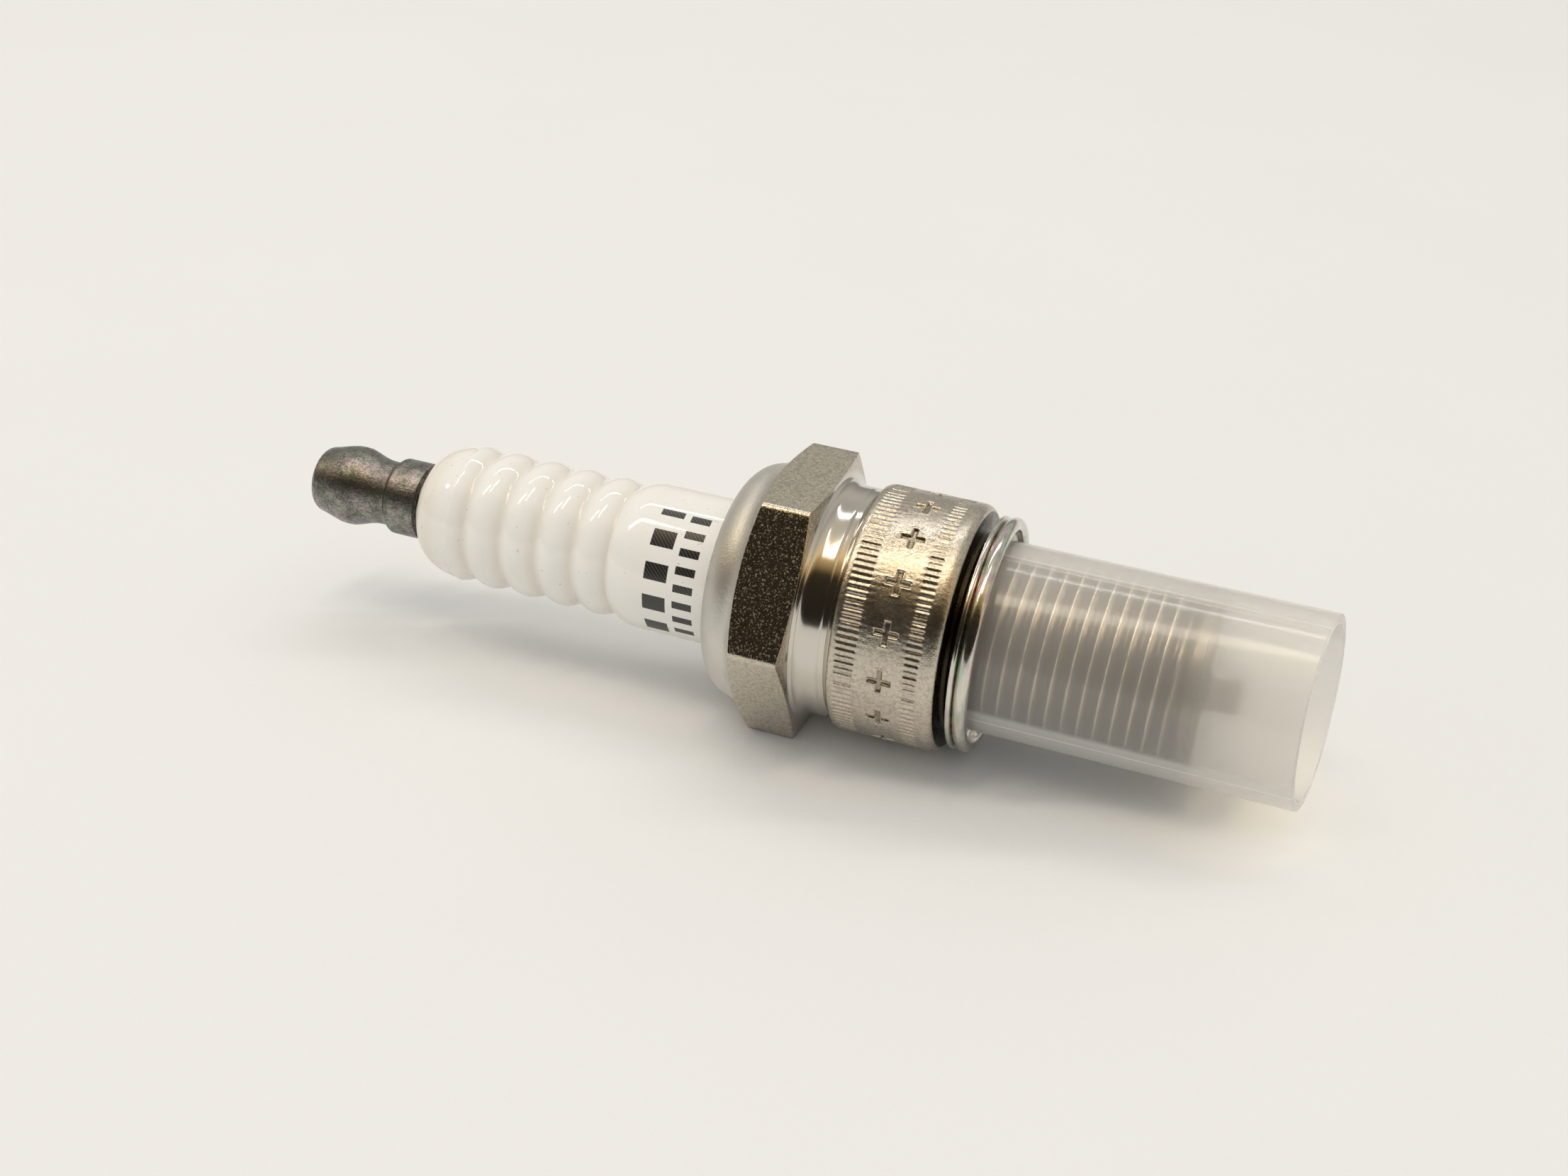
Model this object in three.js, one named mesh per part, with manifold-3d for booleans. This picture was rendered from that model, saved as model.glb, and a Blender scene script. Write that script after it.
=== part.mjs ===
// A 14 mm spark plug: glazed insulator, plated shell, crush gasket, removable terminal nut and thread protector.
//
// Frame: the origin is on the plug's axis at the top of the terminal nut. +X runs along the axis to the firing end,
// the way the plug screws in, and one flat of the hexagon faces straight down, so the plug lies on it.
//
// Every outline below is a list of (radius, station) points, where the station is the distance along +X from the
// shell's gasket seat. Outlines are revolved around three.js's Y axis, and one group turns that axis onto +X and
// moves the terminal's top to the origin.

import * as THREE from 'three';
import { mergeVertices } from 'three/addons/utils/BufferGeometryUtils.js';
import Module from 'manifold-3d';

const wasm = await Module();
wasm.setup();

// ---- driving dimensions, millimetres ----
const SEGMENTS = 32; // facets around a revolved piece
const FIT_GAP = 0.06; // clearance between pieces that are fixed together

const THREAD_CREST = 6.87; // M14 external thread
const THREAD_PITCH = 1.25;
const THREAD_DEPTH = 0.6134 * THREAD_PITCH;
const THREAD_ROOT = THREAD_CREST - THREAD_DEPTH;
const THREAD_START = 2.4;
const THREAD_END = 16.9;
const REACH = 19; // seat to the end of the shell
const TIP_RADIUS = 6.3;
const TIP_LENGTH = 1.8;

const HEX_ACROSS_FLATS = 20.8;
const HEX_CORNER = HEX_ACROSS_FLATS / Math.sqrt(3);
const HEX_FRONT = -12.15; // face of the hexagon towards the seat
const HEX_BACK = -16.9;
const HEX_BACK_CHAMFER = 0.6; // how far the corners are cut back along the axis
const HEX_FRONT_CHAMFER = 0.25;

const FLANGE_RADIUS = 10.1;
const FLANGE_BACK = -8.6;
const FLANGE_FRONT = -1.15;
const FLANGE_END = -0.4; // the recess in front of it is narrower than the gasket
const SEAT_RADIUS = 8.0;
const NECK_RADIUS = 9.6;
const CRIMP_END = -20.3;
const CRIMP_OPENING = 6.45;

const CHAMBER_RADIUS = 7.3; // bore of the shell around the insulator's shoulder
const CHAMBER_BACK = -18.9;
const CHAMBER_FRONT = -2.4;
const LOWER_BORE = 5.2;
const LEDGE_STATION = 7; // where the shell's inner seat begins
const LEDGE_BORE = 4.3;
const TIP_BORE = 4.9;

const INSULATOR_END = -48.1;
const INSULATOR_BODY = 6.2; // cylinder between the ribs and the shell
const INSULATOR_SHOULDER = CHAMBER_RADIUS - 2.5 * FIT_GAP;
const RIB_COUNT = 5;
const RIB_PITCH = 3.3;
const RIB_RADIUS = 5.9;
const RIB_GROOVE = 5.35;
const FIRST_RIB = -44.45;
const STUD_BORE = 2.2;
const ELECTRODE_BORE = 1.4;
const BORE_STEP = -4; // where the stud bore narrows to the electrode bore
const NOSE_END = 18.3;
const NOSE_RADIUS = 2.4;

const STUD_RADIUS = 1.95; // M4 stud
const STUD_COLLAR = 3.17; // under the nut, on the insulator's end
const STUD_TOP = -56.2;
const STUD_FOOT = -11;
const NUT_TOP = -59.1;
const NUT_BASE = -48.5;
const NUT_BORE = 2.15;
const NUT_BORE_DEPTH = 8.0;

const ELECTRODE_RADIUS = 1.25;
const ELECTRODE_TIP = 19.8;
const CORE_RADIUS = 0.65;
const SPARK_GAP = 0.7;
const GROUND_THICKNESS = 1.3;
const GROUND_WIDTH = 2.6;
const GROUND_BEND = 0.55; // inner radius of the bend
const GROUND_TURN = 62; // degrees around the axis from the top, towards -Y

const GASKET_RADIUS = 9.55;
const GASKET_THICKNESS = 2.1;
const GASKET_BORE = 6.6;
const GASKET_DISH = 8.55;

const SLEEVE_OUTER = 7.7;
const SLEEVE_INNER = 6.96;
const SLEEVE_START = 1.5;
const SLEEVE_END = 27.2; // on the axis; the tube's end is cut at a slant
const SLANT = 0.14; // rise of the cut over its width
const SLANT_SIDE = 60; // degrees from the top towards -Y, where the tube is shortest

// ---- helpers ----
const at = (radius, station) => new THREE.Vector2(radius, station);

// Points on a circle around (radius, station), with angles in degrees from the outward direction.
function arc(radius, station, size, from, to, steps) {
  const points = [];
  for (let i = 0; i <= steps; i += 1) {
    const angle = THREE.MathUtils.degToRad(from + ((to - from) * i) / steps);
    points.push(at(radius + size * Math.cos(angle), station + size * Math.sin(angle)));
  }
  return points;
}

// A closed solid of revolution from an outline, which may touch the axis.
function revolve(outline) {
  const points = THREE.ShapeUtils.area(outline) < 0 ? [...outline].reverse() : [...outline];
  points.push(points[0].clone());
  const geometry = new THREE.LatheGeometry(points, SEGMENTS);
  return weld(geometry);
}

// Merges shared vertices and drops triangles that the axis has collapsed.
function weld(geometry) {
  geometry.deleteAttribute('normal');
  geometry.deleteAttribute('uv');
  const merged = mergeVertices(geometry, 1e-4);
  const index = merged.index.array;
  const kept = [];
  for (let i = 0; i < index.length; i += 3) {
    const [a, b, c] = [index[i], index[i + 1], index[i + 2]];
    if (a !== b && b !== c && c !== a) kept.push(a, b, c);
  }
  merged.setIndex(kept);
  return merged;
}

function toSolid(geometry) {
  const mesh = new wasm.Mesh({
    numProp: 3,
    vertProperties: new Float32Array(geometry.attributes.position.array),
    triVerts: new Uint32Array(geometry.index.array),
  });
  return new wasm.Manifold(mesh);
}

function toGeometry(solid) {
  const mesh = solid.getMesh();
  const geometry = new THREE.BufferGeometry();
  geometry.setAttribute('position', new THREE.BufferAttribute(mesh.vertProperties, 3));
  geometry.setIndex(new THREE.BufferAttribute(mesh.triVerts, 1));
  return geometry;
}

function finish(color, roughness, metalness) {
  return new THREE.MeshStandardMaterial({ color, roughness, metalness });
}

// ---- the shell ----

// One 60-degree ridge that winds around the axis and fades into the core at both ends.
function threadRidge() {
  const steps = Math.round(((THREAD_END - THREAD_START) / THREAD_PITCH) * SEGMENTS);
  const fade = SEGMENTS / 3;
  const sink = 0.1;
  const foot = THREAD_ROOT - sink;
  const footHalf = (THREAD_PITCH * 3) / 8;
  const crestHalf = THREAD_PITCH / 16;
  const positions = [];
  const index = [];
  for (let i = 0; i <= steps; i += 1) {
    const angle = (2 * Math.PI * i) / SEGMENTS;
    const station = THREAD_START + (THREAD_PITCH * i) / SEGMENTS;
    const rise = Math.max(0.05, Math.min(1, i / fade, (steps - i) / fade));
    const crest = foot + (THREAD_CREST - foot) * rise;
    const section = [at(foot, -footHalf), at(crest, -crestHalf), at(crest, crestHalf), at(foot, footHalf)];
    for (const point of section) {
      positions.push(point.x * Math.sin(angle), station + point.y, point.x * Math.cos(angle));
    }
  }
  for (let i = 0; i < steps; i += 1) {
    for (let k = 0; k < 4; k += 1) {
      const a = 4 * i + k;
      const b = 4 * i + ((k + 1) % 4);
      index.push(b, a, a + 4, b, a + 4, b + 4);
    }
  }
  const last = 4 * steps;
  index.push(0, 1, 2, 0, 2, 3, last, last + 2, last + 1, last, last + 3, last + 2);
  const geometry = new THREE.BufferGeometry();
  geometry.setAttribute('position', new THREE.Float32BufferAttribute(positions, 3));
  geometry.setIndex(index);
  return geometry;
}

// The hexagon, with its corners turned off by a cone at each face.
function hexagon() {
  const length = HEX_FRONT - HEX_BACK;
  const prism = new THREE.CylinderGeometry(HEX_CORNER, HEX_CORNER, length, 6);
  prism.rotateY(Math.PI / 6);
  prism.translate(0, (HEX_FRONT + HEX_BACK) / 2, 0);
  const flat = HEX_ACROSS_FLATS / 2;
  const corner = HEX_CORNER / Math.cos(Math.PI / SEGMENTS);
  const turned = revolve([
    at(0, HEX_BACK),
    at(flat, HEX_BACK),
    at(corner, HEX_BACK + HEX_BACK_CHAMFER),
    at(corner, HEX_FRONT - HEX_FRONT_CHAMFER),
    at(flat, HEX_FRONT),
    at(0, HEX_FRONT),
  ]);
  return toSolid(weld(prism)).intersect(toSolid(turned));
}

// Everything turned on the outside of the shell, from the crimp to the firing end.
function shellOutline() {
  return [
    at(0, CRIMP_END),
    at(6.9, CRIMP_END),
    ...arc(7.1, CRIMP_END + 2.85, 2.8, -80, -8, 4),
    at(9.9, HEX_BACK),
    at(10.1, HEX_BACK + 0.3),
    at(10.1, HEX_FRONT),
    ...arc(10.8, -10.65, 1.2, 225, 180, 3),
    at(NECK_RADIUS - 0.15, -10.6),
    at(NECK_RADIUS - 0.15, -9.84),
    at(NECK_RADIUS - 0.3, -9.75),
    at(NECK_RADIUS - 0.3, -9.35),
    at(FLANGE_RADIUS, FLANGE_BACK),
    at(FLANGE_RADIUS, FLANGE_FRONT),
    at(FLANGE_RADIUS - 0.15, FLANGE_END - 0.1),
    at(FLANGE_RADIUS - 0.4, FLANGE_END),
    at(SEAT_RADIUS, FLANGE_END),
    at(SEAT_RADIUS, 0),
    at(THREAD_ROOT, 0),
    at(THREAD_ROOT, REACH - TIP_LENGTH),
    at(TIP_RADIUS, REACH - TIP_LENGTH + 0.15),
    at(TIP_RADIUS, REACH - 0.3),
    at(TIP_RADIUS - 0.3, REACH),
    at(0, REACH),
  ];
}

// The stepped bore, longer than the shell so that it opens both ends.
function shellBore() {
  return [
    at(0, CRIMP_END - 1),
    at(CRIMP_OPENING, CRIMP_END - 1),
    at(CRIMP_OPENING, CHAMBER_BACK - 0.7),
    at(CHAMBER_RADIUS, CHAMBER_BACK),
    at(CHAMBER_RADIUS, CHAMBER_FRONT),
    at(LOWER_BORE, CHAMBER_FRONT + 2.1),
    at(LOWER_BORE, LEDGE_STATION),
    at(LEDGE_BORE, LEDGE_STATION + 0.9),
    at(LEDGE_BORE, LEDGE_STATION + 1.9),
    at(TIP_BORE, LEDGE_STATION + 2.5),
    at(TIP_BORE, REACH + 1),
    at(0, REACH + 1),
  ];
}

function shell() {
  const turned = toSolid(revolve(shellOutline()));
  const outside = turned.add(hexagon()).add(toSolid(threadRidge()));
  return toGeometry(outside.subtract(toSolid(revolve(shellBore()))));
}

// ---- the insulator and what it holds ----

// Rounded ribs with narrow grooves between them; each rib is one arc.
function ribs() {
  const points = [];
  const half = RIB_PITCH / 2;
  const rise = RIB_RADIUS - RIB_GROOVE;
  const size = (half * half + rise * rise) / (2 * rise);
  const spread = THREE.MathUtils.radToDeg(Math.asin(half / size)) * 0.93;
  for (let i = 0; i < RIB_COUNT; i += 1) {
    points.push(...arc(RIB_RADIUS - size, FIRST_RIB + i * RIB_PITCH, size, -spread, spread, 4));
  }
  return points;
}

function insulator() {
  return revolve([
    at(STUD_BORE, INSULATOR_END),
    at(3.5, INSULATOR_END),
    at(4.25, INSULATOR_END + 0.3),
    at(4.95, INSULATOR_END + 1),
    ...ribs(),
    at(INSULATOR_BODY, -27.4),
    at(INSULATOR_BODY, -16.2),
    at(INSULATOR_SHOULDER, -15.2),
    at(INSULATOR_SHOULDER, CHAMBER_FRONT - 0.1),
    at(LOWER_BORE - 0.15, CHAMBER_FRONT + 1.9),
    at(LOWER_BORE - 0.15, LEDGE_STATION - 0.55),
    at(LEDGE_BORE - 0.25, LEDGE_STATION + 0.4),
    at(LEDGE_BORE - 0.4, LEDGE_STATION + 2),
    at(NOSE_RADIUS, NOSE_END - 0.4),
    at(NOSE_RADIUS - 0.4, NOSE_END),
    at(ELECTRODE_BORE, NOSE_END),
    at(ELECTRODE_BORE, BORE_STEP),
    at(STUD_BORE, BORE_STEP - 0.6),
  ]);
}

function terminalStud() {
  const foot = STUD_RADIUS + 0.08; // the knurled end that the glass grips
  return revolve([
    at(0, STUD_TOP),
    at(STUD_RADIUS - 0.4, STUD_TOP),
    at(STUD_RADIUS, STUD_TOP + 0.4),
    at(STUD_RADIUS, NUT_BASE + FIT_GAP),
    at(STUD_COLLAR, NUT_BASE + FIT_GAP),
    at(STUD_COLLAR, INSULATOR_END - FIT_GAP),
    at(STUD_RADIUS, INSULATOR_END - FIT_GAP),
    at(STUD_RADIUS, STUD_FOOT - 3),
    at(foot, STUD_FOOT - 2.9),
    at(foot, STUD_FOOT - 0.3),
    at(STUD_RADIUS - 0.3, STUD_FOOT),
    at(0, STUD_FOOT),
  ]);
}

function glassSeal() {
  const headTop = BORE_STEP - 1.9;
  const radius = STUD_BORE - FIT_GAP;
  return revolve([
    at(0, STUD_FOOT + FIT_GAP),
    at(radius, STUD_FOOT + FIT_GAP),
    at(radius, headTop - FIT_GAP),
    at(0, headTop - FIT_GAP),
  ]);
}

// The nickel sheath: a cup whose open end, at the head, takes the copper core.
function centerElectrode() {
  const headTop = BORE_STEP - 1.9;
  const head = STUD_BORE - 0.12;
  const seat = BORE_STEP - 0.65;
  const bore = CORE_RADIUS + FIT_GAP;
  return revolve([
    at(bore, headTop),
    at(head - 0.3, headTop),
    at(head, headTop + 0.3),
    at(head, seat),
    at(ELECTRODE_RADIUS, seat + 0.7),
    at(ELECTRODE_RADIUS, ELECTRODE_TIP - 0.1),
    at(ELECTRODE_RADIUS - 0.1, ELECTRODE_TIP),
    at(0, ELECTRODE_TIP),
    at(0, ELECTRODE_TIP - 3),
    at(bore, ELECTRODE_TIP - 3),
  ]);
}

function copperCore() {
  return revolve([
    at(0, BORE_STEP - 1.85),
    at(CORE_RADIUS, BORE_STEP - 1.85),
    at(CORE_RADIUS, ELECTRODE_TIP - 3 - FIT_GAP),
    at(0, ELECTRODE_TIP - 3 - FIT_GAP),
  ]);
}

// ---- packing between the insulator and the shell ----

function packingRing(station) {
  const middle = (INSULATOR_BODY + CHAMBER_RADIUS) / 2;
  return revolve(arc(middle, station, 0.42, 0, 300, 5));
}

function talcPacking() {
  return revolve([
    at(INSULATOR_BODY + 2 * FIT_GAP, -18.0),
    at(CHAMBER_RADIUS - 2 * FIT_GAP, -18.0),
    at(CHAMBER_RADIUS - 2 * FIT_GAP, -17.25),
    at(INSULATOR_BODY + 2 * FIT_GAP, -17.25),
  ]);
}

// A thin cone of soft steel between the insulator's shoulder and the shell's inner ledge.
function seatWasher() {
  return revolve([
    at(LOWER_BORE - 0.1, LEDGE_STATION - 0.2),
    at(LOWER_BORE - 0.15, LEDGE_STATION - 0.4),
    at(LEDGE_BORE + 0.15, LEDGE_STATION + 0.42),
    at(LEDGE_BORE + 0.15, LEDGE_STATION + 0.67),
  ]);
}

// ---- pieces on the outside ----

function terminalNut() {
  const bulb = 3.44;
  const waist = 2.79;
  const collar = 3.32;
  return revolve([
    at(0, NUT_TOP),
    ...arc(2.2, NUT_TOP + 0.7, 0.7, -90, -15, 3),
    at(3.25, -57.2),
    at(bulb, -56.2),
    at(bulb - 0.02, -55.5),
    at(3.15, -54.4),
    at(waist, -53.2),
    at(waist, -51.9),
    at(collar, -51.45),
    at(collar, NUT_BASE - 0.15),
    at(collar - 0.15, NUT_BASE),
    at(NUT_BORE, NUT_BASE),
    at(NUT_BORE, NUT_BASE - NUT_BORE_DEPTH),
    at(0, NUT_BASE - NUT_BORE_DEPTH - 0.9),
  ]);
}

// A bar welded to the shell's end and bent over the centre electrode.
function groundElectrode() {
  const foot = REACH + FIT_GAP;
  const inner = (TIP_BORE + TIP_RADIUS - 0.3) / 2 - GROUND_THICKNESS / 2;
  const outer = inner + GROUND_THICKNESS;
  const face = ELECTRODE_TIP + SPARK_GAP;
  const reach = -ELECTRODE_RADIUS;
  const bend = inner - GROUND_BEND;
  const height = face - GROUND_BEND;
  const outline = new THREE.Shape([
    at(inner, foot),
    at(outer, foot),
    ...arc(bend, height, GROUND_BEND + GROUND_THICKNESS, 0, 90, 6),
    at(reach, face + GROUND_THICKNESS),
    at(reach, face),
    ...arc(bend, height, GROUND_BEND, 90, 0, 4),
  ]);
  const bar = new THREE.ExtrudeGeometry(outline, { depth: GROUND_WIDTH, bevelEnabled: false });
  bar.translate(0, 0, -GROUND_WIDTH / 2);
  bar.rotateY(THREE.MathUtils.degToRad(GROUND_TURN - 90));
  return weld(bar);
}

// A folded washer: a web against the seat, which stays behind the thread, and a rim folded back into a roll.
function gasket() {
  return revolve([
    at(GASKET_BORE, FIT_GAP),
    at(SEAT_RADIUS, FIT_GAP),
    at(SEAT_RADIUS + 0.4, 0.5),
    at(GASKET_RADIUS - 0.25, 0.5),
    at(GASKET_RADIUS - 0.05, 0.7),
    at(GASKET_RADIUS - 0.4, 0.98),
    ...arc(GASKET_RADIUS - 0.55, GASKET_THICKNESS - 0.55, 0.55, -45, 90, 4),
    at(GASKET_DISH + 0.25, GASKET_THICKNESS),
    at(GASKET_DISH, GASKET_THICKNESS - 0.25),
    at(GASKET_DISH, 1.3),
    at(GASKET_DISH - 0.3, 1.0),
    at(GASKET_BORE, 0.85),
  ]);
}

function threadProtector() {
  const tube = revolve([
    at(SLEEVE_INNER, SLEEVE_START),
    at(SLEEVE_OUTER, SLEEVE_START),
    at(SLEEVE_OUTER, SLEEVE_END - 0.15),
    at(SLEEVE_OUTER - 0.15, SLEEVE_END),
    at(SLEEVE_INNER, SLEEVE_END),
  ]);
  const side = THREE.MathUtils.degToRad(SLANT_SIDE);
  const place = tube.attributes.position;
  for (let i = 0; i < place.count; i += 1) {
    const station = place.getY(i);
    const towardsSide = place.getX(i) * Math.sin(side) + place.getZ(i) * Math.cos(side);
    if (station > SLEEVE_END - 1) place.setY(i, station - SLANT * towardsSide);
  }
  return tube;
}

// ---- the assembly ----
const steel = finish(0x9a9791, 0.38, 1);
const nickel = finish(0xa9a294, 0.35, 1);
const gunmetal = finish(0x3c3d40, 0.4, 0.9);
const glaze = finish(0xf3efe6, 0.08, 0);
const powder = finish(0xd8d4c8, 0.9, 0);
const glass = finish(0x2f3434, 0.3, 0);
const copper = finish(0xb87345, 0.35, 1);
const zinc = finish(0xb9bda6, 0.32, 1);
const plastic = finish(0xe9e9e2, 0.45, 0);

const pieces = [
  ['terminal_nut', terminalNut(), gunmetal],
  ['terminal_stud', terminalStud(), steel],
  ['insulator', insulator(), glaze],
  ['glass_seal', glassSeal(), glass],
  ['center_electrode', centerElectrode(), nickel],
  ['center_electrode_core', copperCore(), copper],
  ['shell', shell(), nickel],
  ['talc_packing', talcPacking(), powder],
  ['upper_packing_ring', packingRing(-18.5), steel],
  ['lower_packing_ring', packingRing(-16.75), steel],
  ['seat_washer', seatWasher(), steel],
  ['ground_electrode', groundElectrode(), nickel],
  ['gasket', gasket(), zinc],
  ['thread_protector', threadProtector(), plastic],
];

const plug = new THREE.Group();
plug.rotation.z = -Math.PI / 2;
plug.position.x = -NUT_TOP;
for (const [name, geometry, material] of pieces) {
  const mesh = new THREE.Mesh(geometry, material);
  mesh.name = name;
  plug.add(mesh);
}

export default plug;
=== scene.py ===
"""A new spark plug lying on white paper with its clear thread protector on.

Outlines are in millimetres. x is the distance along the plug from the shell's gasket seat, positive towards
the firing end, and r is the distance from the plug's axis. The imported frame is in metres, with +X along that
axis. Angles around the plug start at the top and grow towards -Y, unless a comment says otherwise.
"""

import math

import bmesh
import bpy
import numpy as np
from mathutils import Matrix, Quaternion, Vector


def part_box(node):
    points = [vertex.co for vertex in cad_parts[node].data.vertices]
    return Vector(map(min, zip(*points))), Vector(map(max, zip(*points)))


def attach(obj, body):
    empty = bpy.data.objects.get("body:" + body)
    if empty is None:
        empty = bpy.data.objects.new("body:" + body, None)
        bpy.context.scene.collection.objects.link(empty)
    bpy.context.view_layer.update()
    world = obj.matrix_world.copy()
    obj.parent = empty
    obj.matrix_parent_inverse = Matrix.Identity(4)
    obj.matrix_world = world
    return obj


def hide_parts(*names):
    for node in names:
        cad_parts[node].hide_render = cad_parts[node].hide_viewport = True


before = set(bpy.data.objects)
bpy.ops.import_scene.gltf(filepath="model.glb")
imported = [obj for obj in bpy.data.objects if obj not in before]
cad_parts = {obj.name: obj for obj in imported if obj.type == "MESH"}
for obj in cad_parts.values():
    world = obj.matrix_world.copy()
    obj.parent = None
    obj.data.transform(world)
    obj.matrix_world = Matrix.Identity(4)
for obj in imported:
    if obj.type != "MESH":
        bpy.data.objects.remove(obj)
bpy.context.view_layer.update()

MM = 0.001
REACH = 19.0  # gasket seat to the shell's firing end
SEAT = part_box("shell")[1].x - REACH * MM  # the seat's place along X, in metres

# ---- sizes of the pieces, in millimetres, and angles in radians ----
HEX_FLAT = 10.4  # axis to flat
HEX_CORNER = HEX_FLAT / math.cos(math.pi / 6)
HEX_BACK = -16.9
HEX_FRONT = -12.15
HEX_BACK_CHAMFER = 0.6
HEX_FRONT_CHAMFER = 0.25
HEX_EDGE = 0.07  # how far each edge of the hexagon is rounded

FLANGE = 10.1
FLANGE_BACK = -8.5
FLANGE_FRONT = -1.3
FLANGE_END = -0.4
NECK_FRONT = -9.0
KNURL_BANDS = ((-8.42, -6.7), (-2.95, -1.72))
KNURL_LINES = 120
KNURL_DEPTH = 0.1
KNURL_FADE = 0.12  # from a groove's end to its full depth
MARK_COUNT = 16
MARK_STATION = -4.7
MARK_ARM = 0.94
MARK_HALF_WIDTH = 0.2
MARK_DEPTH = 0.2
FIRST_MARK = math.radians(1.3)

THREAD_START = 0.6
THREAD_END = 17.2
THREAD_PITCH = 1.25
THREAD_CREST = 6.87
THREAD_ROOT = THREAD_CREST - 0.6134 * THREAD_PITCH
TIP = 6.3
TIP_BORE = 4.9

STUD_PITCH = 0.7
STUD_ROOT = 1.57
STUD_CREST = 1.95

RIB_GROOVE = 5.35
RIB_RISE = 0.55
RIB_PITCH = 3.3
LAST_GROOVE = -29.6
BODY = 6.2  # the insulator's plain cylinder

SLEEVE = 7.7
SLEEVE_BORE = 6.96
SLEEVE_START = 1.5
SLEEVE_END = 27.18
SLANT = 0.14  # the sleeve's end is cut at a slant
SLANT_SIDE = math.radians(60)  # where the sleeve is shortest
GROUND_TURN = math.radians(62)

# printed bars on the insulator and lines on the sleeve; these angles grow towards +Y
PRINTED_SIDE = (-2.3, -0.35)
WIDE_ROW = (-26.0, -24.0)
NARROW_ROW = (-23.4, -21.7)
MOULD_LINES = (-0.08, -2.08)
SPIRAL_START = 2 * math.pi * THREAD_START / THREAD_PITCH  # where the thread's first crest crosses the top

COLUMNS = 240  # around a visible piece
FINE = 960  # around the stamped flange
PLAIN = 96  # around a hidden piece


# ---- outlines ----
def arc(x, r, size, start, stop, steps):
    """Points on a circle; 0 degrees is outward and 90 is towards the firing end."""
    angles = np.radians(np.linspace(start, stop, steps + 1))
    return [(x + size * math.sin(a), r + size * math.cos(a)) for a in angles]


def rounded(corners, steps=4):
    """An outline from (x, r, fillet) corners; a corner without a fillet stays one point."""
    points = []
    count = len(corners)
    for i, (x, r, fillet) in enumerate(corners):
        here = np.array([x, r])
        if fillet == 0:
            points.append((x, r))
            continue
        before = np.array(corners[i - 1][:2]) - here
        after = np.array(corners[(i + 1) % count][:2]) - here
        enter = here + before / np.linalg.norm(before) * fillet
        leave = here + after / np.linalg.norm(after) * fillet
        for t in np.linspace(0, 1, steps + 1):
            point = (1 - t) ** 2 * enter + 2 * t * (1 - t) * here + t**2 * leave
            points.append(tuple(point))
    return points


# ---- surfaces ----
class Skin:
    """Rings of points around the axis, joined into one closed surface.

    Column 0 is at the top, and columns run towards -Y.
    """

    def __init__(self, columns):
        self.columns = columns
        self.points = []
        self.faces = []
        self.first = None
        self.last = None

    def angles(self, count=None):
        count = count or self.columns
        return np.arange(count) * (2 * math.pi / count)

    def add_points(self, x, r, angle):
        start = len(self.points)
        x, r = np.broadcast_to(x, angle.shape), np.broadcast_to(r, angle.shape)
        self.points.extend(zip(x, -r * np.sin(angle), r * np.cos(angle)))
        return start

    def ring(self, x, r, count=None):
        """Adds a ring and joins it to the one before; x and r are numbers or one value for each column."""
        count = count or self.columns
        here = (self.add_points(x, r, self.angles(count)), count)
        if self.last:
            self.join(self.last, here)
        self.first = self.first or here
        self.last = here

    def join(self, one, two):
        """Faces between two rings, where one may have a whole number of times the other's columns."""
        if one[1] > two[1]:
            one, two = two, one
        (a, n), (b, m) = one, two
        step = m // n
        for i in range(n):
            fine = [b + (i * step + k) % m for k in range(step, -1, -1)]
            self.faces.append([a + i, a + (i + 1) % n] + fine)

    def rings(self, outline):
        for x, r in outline:
            self.ring(x, r)

    def thread(self, start, end, pitch, root, crest, fade):
        """A right-hand thread between plain rings of the root radius at start and end."""
        half_crest = 1 / 16
        half_root = 3 / 8
        turn = [(-0.5, 0), (-half_root - 0.03, 0), (-half_root + 0.02, 0.08), (-half_crest - 0.03, 0.94)]
        turn += [(-half_crest, 1), (half_crest, 1), (half_crest + 0.03, 0.94), (half_root - 0.02, 0.08)]
        turn += [(half_root + 0.03, 0)]
        rows = len(turn)
        turns = math.ceil((end - start) / pitch) + 2
        share = np.arange(self.columns) / self.columns
        first = len(self.points)
        for row in range(rows * turns):
            phase, height = turn[row % rows]
            x = start + (row // rows - 1 + phase + share) * pitch
            x = np.clip(x, start, end)
            rise = np.clip(np.minimum(x - start, end - x) / fade, 0, 1)
            rise = rise * rise * (3 - 2 * rise)
            # columns run towards -Y, so a right-hand helix takes them backwards
            self.add_points(x, root + (crest - root) * height * rise, -self.angles())
        for row in range(rows * turns - 1):
            for i in range(self.columns):
                a = first + row * self.columns + i
                if i + 1 < self.columns:
                    self.faces.append([a, a + 1, a + 1 + self.columns, a + self.columns])
                elif row + rows + 1 < rows * turns:
                    b = first + (row + rows) * self.columns
                    self.faces.append([a, b, b + self.columns, a + self.columns])

    def close(self):
        self.join(self.last, self.first)
        return self


def revolved(outline, columns=COLUMNS):
    skin = Skin(columns)
    skin.rings(outline)
    return skin.close()


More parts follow.
